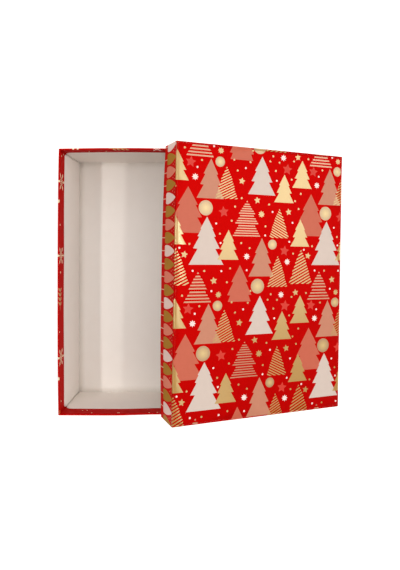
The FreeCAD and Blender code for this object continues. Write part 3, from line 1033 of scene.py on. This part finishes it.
def base_motifs(wrap):
    """Motifs on each flap, placed by (along, depth past the rim's crest) in millimetres. The
    left rim's are laid straight on the sheet, and the others are turned onto their flaps."""
    placed = []
    rim = wrap.at_crest
    left = -(wrap.flat_x + rim)

    def add(ink, shapes, flap):
        placed.extend((ink, "flap", onto_flap(wrap, shape, flap)) for shape in shapes)

    for along, depth in LEFT_FLAKES:
        placed += [("cream", "flap", shape) for shape in snowflake(left - depth, along, 12.5)]
    for along, depth, size in LEFT_DOTS:
        placed.append(("cream", "flap", disc(left - depth, along, size, 10)))
    for along, depth, length in LEFT_SPRIGS:
        stem = sprig(left - depth, along, length, math.pi / 2)
        placed += [("gold", "flap", shape) for shape in stem]
    rng = np.random.default_rng(7)
    for flap in range(4):
        half = wrap.half_y if flap < 2 else wrap.half_x
        count = int(half * 2 / WALL_PITCH)
        for row, depth in enumerate(WALL_ROWS):
            for number in range(count):
                along = (number + 0.5 + 0.5 * (row % 2)) * 2 * half / count - half
                along += rng.uniform(-WALL_STRAY, WALL_STRAY)
                travel = rim + depth + rng.uniform(-WALL_STRAY, WALL_STRAY)
                kind = (number + row) % 3
                if kind == 0:
                    add("pearl", snowflake(along, travel, 10.0), flap)
                elif kind == 1:
                    add("cream", sprig(along, travel - 5, 10, math.pi / 2), flap)
                else:
                    add("cream", [disc(along, travel, 1.7, 10)], flap)
                    add("pearl", [disc(along + 6, travel + 5, 1.2, 8)], flap)
    add("cream", [disc(along, rim + depth, size, 10) for along, depth, size in BACK_DOTS], 3)
    add("gold", sprig(-54, rim - 0.4, 22, 0.0), 3)
    add("pearl", snowflake(8.0, rim - 2.5, 10.5), 3)
    add("cream", [disc(along, rim + depth, 0.9, 8) for along, depth in FRONT_SPECKS], 2)
    return placed


# %% Fold the base's sheet
UNDER_MARGIN = 16.0


def margin_regions(wrap):
    """The mitred margin turned under the bottom, one trapezium for each side."""
    x, y = wrap.flat_x, wrap.flat_y
    in_x, in_y = x - UNDER_MARGIN, y - UNDER_MARGIN
    right = np.array([(x, -y), (x, y), (in_x, in_y), (in_x, -in_y)])
    back = np.array([(-x, y), (x, y), (in_x, in_y), (-in_x, in_y)])
    regions = []
    for sign in (-1, 1):
        regions += [right * (sign, 1), back * (1, sign)]
    return regions


def base_zones(points):
    """The base's motifs show on the flaps, and the margin under the bottom stays plain."""
    across, along = np.abs(points.T)
    return {"flap": (across > base_wrap.flat_x) | (along > base_wrap.flat_y)}


base_regions = margin_regions(base_wrap) + flap_regions(base_wrap)
base_flat, base_triangles, base_inks = cut_sheet(
    base_regions, base_motifs(base_wrap), fold_lines(base_wrap), base_zones
)
base_paper = new_piece("base_printed_wrap", place_base(*base_wrap.folded(*base_flat.T)), base_triangles,
                       "base", ["base_wrap"])
add_uv(base_paper, base_flat)
slots_used = ink_slots(base_paper, base_inks, "deep_red")
face_outwards(base_paper, flip=True)
thicken(base_paper, slots_used)
print("base wrap faces:", len(base_paper.data.polygons))

# %% [markdown]
# ## The linings
#
# White paper cut as a cross: a floor panel and four flaps that stop short of the rim, with their
# free corners cut round. Where two flaps meet they leave a fine seam. The flaps could be cut
# from a plane with a curve, but a grid whose rows get shorter towards the free edge, by a
# quarter ellipse at each end, needs no cutting. The foot of a flap curves out of the floor, and
# its free edge lifts off the wall by a tenth of a millimetre or two, in slow waves, which keeps
# the paper from looking like paint. In the photograph the flaps of the long sides have narrower
# corner rounds than those of the ends, and the left and front flaps stop lower.


# %% A lining flap and its floor
SIDE_ROUND = 4.5
END_ROUND = 9.0
ROUND_DOWN = 13.0
FOOT_ROUND = 0.4
HALF_SEAM = 0.03
EDGE_LIFT = 0.1
LIFT_DEPTH = 5
LIFT_WAVE = 23
FLOOR_RISE = 0.08
FLOOR_WAVES = (31, 43)
FLOOR_FADE = 12
COLUMN_BUNCHING = 0.82 * math.pi / 2


def flap_grid(half, height, round_along, rows=22, columns=41):
    """Along and up for each grid point: rows shorten near the top by a quarter ellipse, and
    columns stand closer together towards the corners, as the sine of even steps."""
    up = np.concatenate([
        np.linspace(0, FOOT_ROUND, 5)[:-1],
        np.linspace(FOOT_ROUND, height - ROUND_DOWN, rows)[:-1],
        height - ROUND_DOWN * (1 - np.sin(np.linspace(0, math.pi / 2, 15))),
    ])
    into = np.clip(up - (height - ROUND_DOWN), 0, ROUND_DOWN) / ROUND_DOWN
    shorter = round_along * (1 - np.sqrt(1 - into**2))
    share = np.sin(np.linspace(-1, 1, columns) * COLUMN_BUNCHING) / math.sin(COLUMN_BUNCHING)
    along = share[None, :] * (half - shorter)[:, None]
    return along, np.repeat(up[:, None], columns, axis=1)


def grid_faces(rows, columns):
    """Quads of a grid whose points are stored row by row."""
    index = np.arange(rows * columns).reshape(rows, columns)
    quads = np.stack([index[:-1, :-1], index[:-1, 1:], index[1:, 1:], index[1:, :-1]], -1)
    return quads.reshape(-1, 4)


def lining_flap(side, sign, half, reach, tall):
    """Points, quads and flat places of one flap on a wall at reach: the foot's quarter round and
    the free edge's lift come off the reach. The right and front flaps' quads are turned over,
    so that all of them face into the tray."""
    along, up = flap_grid(half - HALF_SEAM, tall, SIDE_ROUND if side else END_ROUND)
    foot = np.clip(up, 0, FOOT_ROUND) / FOOT_ROUND
    curve = FOOT_ROUND * (1 - np.sqrt(1 - (1 - foot) ** 2))
    near_edge = np.clip((up - tall + LIFT_DEPTH) / LIFT_DEPTH, 0, 1)
    lift = EDGE_LIFT * near_edge**2 * (1 + np.sin(along / LIFT_WAVE))
    out, flat_out = sign * (reach - curve - lift), sign * (reach + up)
    points = [out, along, up] if side else [along, out, up]
    flat = [flat_out, along] if side else [along, flat_out]
    quads = grid_faces(*along.shape)
    if side != (sign < 0):
        quads = quads[:, ::-1]
    return points, quads, flat


def lining_floor(half_x, half_y):
    """The floor panel as a grid with a slow wave that fades to nothing at the flaps."""
    edge_x, edge_y = half_x - FOOT_ROUND, half_y - FOOT_ROUND
    across, along = np.meshgrid(np.linspace(-edge_x, edge_x, 25), np.linspace(-edge_y, edge_y, 35))
    fade = np.clip((edge_x - np.abs(across)) / FLOOR_FADE, 0, 1)
    fade = fade * np.clip((edge_y - np.abs(along)) / FLOOR_FADE, 0, 1)
    waves = np.sin(across / FLOOR_WAVES[0]) * np.cos(along / FLOOR_WAVES[1])
    wave = FLOOR_RISE * (1 + waves) * fade
    return [across, along, wave], grid_faces(*across.shape), [across, along]


def lining(half_x, half_y, left, right, front, back):
    """Points (x, y, up from the panel), quads and flat places of a whole lining, whose four
    flaps have the given heights."""
    parts = [
        lining_flap(True, -1, half_y, half_x, left),
        lining_flap(True, 1, half_y, half_x, right),
        lining_flap(False, -1, half_x, half_y, front),
        lining_flap(False, 1, half_x, half_y, back),
        lining_floor(half_x, half_y),
    ]
    points = [np.stack(part[0], -1).reshape(-1, 3) for part in parts]
    flats = [np.stack(part[2], -1).reshape(-1, 2) for part in parts]
    starts = np.cumsum([0] + [len(part) for part in points[:-1]])
    faces = [part[1] + start for part, start in zip(parts, starts)]
    return np.concatenate(points), np.concatenate(faces), np.concatenate(flats)


# %% Place both linings
LOW_DROP = 19.5
HIGH_DROP = 16.5
LID_DROP = 10.0
LID_ROOF = 2.0
lining_wall = WALL + PAPER
white_stock = plain_paper("uncoated white lining stock", "#F3ECE4", "#EFE7DE")
lined_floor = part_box("base_lining")[0].z / MM + PAPER
low, high = BASE_HEIGHT - lined_floor - LOW_DROP, BASE_HEIGHT - lined_floor - HIGH_DROP
points, faces, base_lining_flat = lining(
    BASE_HALF_X - lining_wall, BASE_HALF_Y - lining_wall, left=low, right=high, front=low, back=high
)
x, y, up = points.T
base_white = new_piece("base_white_lining", place_base(x, y, up + lined_floor - SHEET_TOP), faces,
                       "base", ["base_lining"])
points, faces, lid_lining_flat = lining(
    LID_HALF_X - lining_wall, LID_HALF_Y - lining_wall, *[LID_HEIGHT - LID_ROOF - LID_DROP] * 4
)
x, y, up = points.T
lid_white = new_piece("lid_white_lining", place_lid(x, y, LID_ROOF + up), faces[:, ::-1],
                      "lid", ["lid_lining"])
for piece, flat in ((base_white, base_lining_flat), (lid_white, lid_lining_flat)):
    add_uv(piece, flat)
    piece.data.materials.append(white_stock)
    face_outwards(piece, flip=False)
    thicken(piece, 0)
print("lining faces:", len(base_white.data.polygons), len(lid_white.data.polygons))

# %% [markdown]
# ## The boards
#
# Greyboard is pulp pressed from waste paper: grey-brown, matt and speckled. The wrap and lining
# hide it all, but the walls that bow need boards that bow with them. The frame's flat boards
# could be kept and would poke through, so each wall board is a thin closed slab on a grid that
# follows the same function, with its long edges pinched a little, as a blade leaves them.


# %% Bowed wall boards
EDGE_PINCH = 0.225
EDGE_REACH = 0.5


def board_slab(half, low, high, face):
    """A closed slab: a grid for each face and a skirt of quads round the edge."""
    along, up = np.meshgrid(np.linspace(-half, half, 31), np.linspace(low, high, 7))
    near_low = np.clip(1 - np.abs(up - low) / EDGE_REACH, 0, 1)
    near_high = np.clip(1 - np.abs(up - high) / EDGE_REACH, 0, 1)
    pinch = EDGE_PINCH * (near_low + near_high)
    layers = [np.stack([along, out, up], -1).reshape(-1, 3)
              for out in (face - pinch, face - BOARD + pinch)]
    count = along.size
    outer = grid_faces(*along.shape)
    index = np.arange(count).reshape(along.shape)
    ring = np.concatenate([index[0, :-1], index[:-1, -1], index[-1, :0:-1], index[:0:-1, 0]])
    following = np.roll(ring, -1)
    skirt = np.stack([ring, ring + count, following + count, following], 1)
    return np.concatenate(layers), np.concatenate([outer, (outer + count)[:, ::-1], skirt])


BOARD_START = 0.6
BOARD_END = 0.7
grey_pulp = plain_paper("pressed greyboard", "#8E8478", "#7D7368", "Object", roughness=0.85)


def wall_boards(tray, kind, half_x, half_y, height, place):
    """The four boards of a tray, each in place of its CAD node. The side boards run the whole
    length, and the ends stand between them. The right and front slabs are mirror images, and
    the lid is upside down, and each of these turns the quads over."""
    cover = WALL - PAPER - BOARD
    for name, sign in (("left", -1), ("right", 1), ("front", -1), ("back", 1)):
        side = name in ("left", "right")
        reach = (half_x if side else half_y) - cover
        half = half_y - cover if side else half_x - cover - BOARD
        points, faces = board_slab(half, BOARD_START, height - BOARD_END, reach)
        along, out, up = points.T
        x, y = (sign * out, along) if side else (along, sign * out)
        node = f"{tray}_{name}_{kind}_board"
        if (side == (sign > 0)) != (tray == "base"):
            faces = faces[:, ::-1]
        piece = new_piece(f"{node}_bowed", place(x, y, up), faces, tray, [node])
        piece.data.materials.append(grey_pulp)
        face_outwards(piece, flip=False)
        print(piece.name, "runs", round(2 * half, 1), "mm")


wall_boards("base", "wall", BASE_HALF_X, BASE_HALF_Y, BASE_HEIGHT - SHEET_TOP, place_base)
wall_boards("lid", "skirt", LID_HALF_X, LID_HALF_Y, LID_HEIGHT, place_lid)

# %% [markdown]
# ## The frame's own pieces
#
# The corner stays, the two flat boards and the underside sheet are plain and don't bow, so the
# frame's own solids are kept and only get a material. They could be made again here, but
# nothing would look better. Kraft paper is brown and unbleached, and the underside sheet is
# plain red stock, a little smoother.


# %% Materials of the frame's pieces that stay
kraft = plain_paper("kraft stay paper", "#B99C74", "#AE9068", "Object", roughness=0.75)
red_stock = plain_paper("red underside stock", "#9E1410", "#92110D", "Object", roughness=0.6)
STOCKS = {"_corner_stay": kraft, "_bottom_board": grey_pulp, "_top_board": grey_pulp,
          "_underside_sheet": red_stock}
for name, node in nodes.items():
    for ending, stock in STOCKS.items():
        if name.endswith(ending):
            node.data.materials.clear()
            node.data.materials.append(stock)
            print(name, "is", stock.name)

# %% [markdown]
# ## The studio
#
# The camera looks straight down from 0.77 m. Its focal length and place were worked out from
# the rim, the lined floor and the lid's corners, in pixels of a frame 400 wide and 570 high.
#
# Two small lamps hang to the left and right of it, because the photograph's shadows have firm
# edges: the left one throws the shadow of the rim on the lined floor, the right one the shadow
# of the lid, and the strip between, lit by both, is the brightest. Larger soft boxes all round
# fill the shadows, mostly from the right, and the large overhead one and the pale surround are
# what the gold ink mirrors. One big lamp could give the same brightness but not these shadows.


# %% Camera
FOCAL_PX = 528.14
CENTRE_PX = (214.96, 243.88)
CAMERA_MM = (82.8, 49.12, 772.54)
CAMERA_ROLL = 0.0017
WIDTH_PX, HEIGHT_PX = 400, 570
SENSOR_MM = 36.0
camera_data = bpy.data.cameras.new("camera")
camera_data.sensor_width = SENSOR_MM
camera_data.lens = FOCAL_PX / HEIGHT_PX * SENSOR_MM
camera_data.shift_x = (WIDTH_PX / 2 - CENTRE_PX[0]) / HEIGHT_PX
camera_data.shift_y = (CENTRE_PX[1] - HEIGHT_PX / 2) / HEIGHT_PX
camera_data.clip_end = 20
camera = bpy.data.objects.new("camera", camera_data)
camera.location = Vector(CAMERA_MM) * MM
camera.rotation_euler = (0, 0, CAMERA_ROLL)
bpy.context.scene.collection.objects.link(camera)
bpy.context.scene.camera = camera
print("camera lens:", round(camera_data.lens, 2), "mm")


# %% Lamps
LAMP_HEIGHT = 2.4
LAMP_AIM = Vector((0.03, 0.0, 0.05))


def soft_lamp(name, left_tilt, back_tilt, size, power):
    """A rectangular area lamp above the box, some degrees off to the left and the back, that
    faces the box's middle: its size is in metres and its power in watts."""
    data = bpy.data.lights.new(name, "AREA")
    data.shape = "RECTANGLE"
    data.size, data.size_y = size
    data.energy = power
    lamp = bpy.data.objects.new(name, data)
    aim = Vector((-math.tan(math.radians(left_tilt)), math.tan(math.radians(back_tilt)), 1.0))
    lamp.location = LAMP_AIM + aim * LAMP_HEIGHT
    facing = aim.normalized()
    across = Vector((0, 1, 0)).cross(facing).normalized()
    lamp.rotation_euler = Matrix((across, facing.cross(across), facing)).transposed().to_euler()
    bpy.context.scene.collection.objects.link(lamp)


soft_lamp("left small lamp", 22.8, 1.0, (0.12, 0.16), 14.3)
soft_lamp("right small lamp", -31.3, 1.0, (0.14, 0.16), 12.1)
soft_lamp("right soft lamp", -24.0, 1.0, (0.36, 0.3), 2.25)
soft_lamp("right large soft box", -50.0, 22.0, (1.4, 2.4), 11.0)
soft_lamp("right bright soft box", -56.5, 10.8, (1.5, 1.8), 31.0)
soft_lamp("front right soft box", -40.0, -26.0, (0.6, 0.8), 5.5)
soft_lamp("large overhead soft box", 0.0, 27.0, (2.6, 1.9), 17.2)
soft_lamp("low front soft box", 0.0, -53.0, (1.8, 1.8), 8.0)
soft_lamp("low left soft box", 53.0, 0.0, (1.8, 1.8), 6.5)
soft_lamp("low back soft box", 0.0, 53.0, (1.8, 1.8), 11.0)
print("lamps:", len(bpy.data.lights))

# %% [markdown]
# The floor is a matt white sheet that keeps the box's shadow. The ground has to look white, and
# more light would bleach the box too, so the floor glows by half a unit, but only for rays from
# the camera and for mirrored and transmitted ones, so its glow lights nothing. The world is an
# even mid grey.


# %% Floor and surround
FLOOR_REACH = 6.0
FLOOR_GLOW = 0.5
SURROUND_GREY = 0.26
floor_mesh = bpy.data.meshes.new("studio_floor")
floor_corners = rectangle(-FLOOR_REACH, FLOOR_REACH, -FLOOR_REACH, FLOOR_REACH)
floor_corners = np.pad(floor_corners, ((0, 0), (0, 1)))
floor_mesh.from_pydata(floor_corners.tolist(), [], [(0, 1, 2, 3)])
studio_floor = bpy.data.objects.new("studio_floor", floor_mesh)
bpy.context.scene.collection.objects.link(studio_floor)
floor_material, floor_tree = start_material("matt studio floor")
seen = add_node(floor_tree, "ShaderNodeLightPath")
looked_at = seen.outputs["Is Camera Ray"]
for kind in ("Is Glossy Ray", "Is Transmission Ray"):
    looked_at = add_node(floor_tree, "ShaderNodeMath", {"operation": "MAXIMUM"},
                         i0=looked_at, i1=seen.outputs[kind]).outputs[0]
glow = add_node(floor_tree, "ShaderNodeMath", {"operation": "MULTIPLY"}, i0=looked_at, i1=FLOOR_GLOW)
finish_material(floor_tree, Base_Color=linear("#F4F3F1"), Roughness=0.9, Specular_IOR_Level=0.1,
                Emission_Color=linear("#FFFFFF"), Emission_Strength=glow.outputs[0])
floor_mesh.materials.append(floor_material)

world = bpy.data.worlds.new("surround")
bpy.context.scene.world = world
world.use_nodes = True
sky = world.node_tree
sky.nodes.clear()
background = add_node(sky, "ShaderNodeBackground", Strength=1.0,
                      Color=(SURROUND_GREY, SURROUND_GREY, SURROUND_GREY, 1))
add_node(sky, "ShaderNodeOutputWorld", Surface=background.outputs[0])
bpy.context.scene.view_settings.view_transform = "Standard"
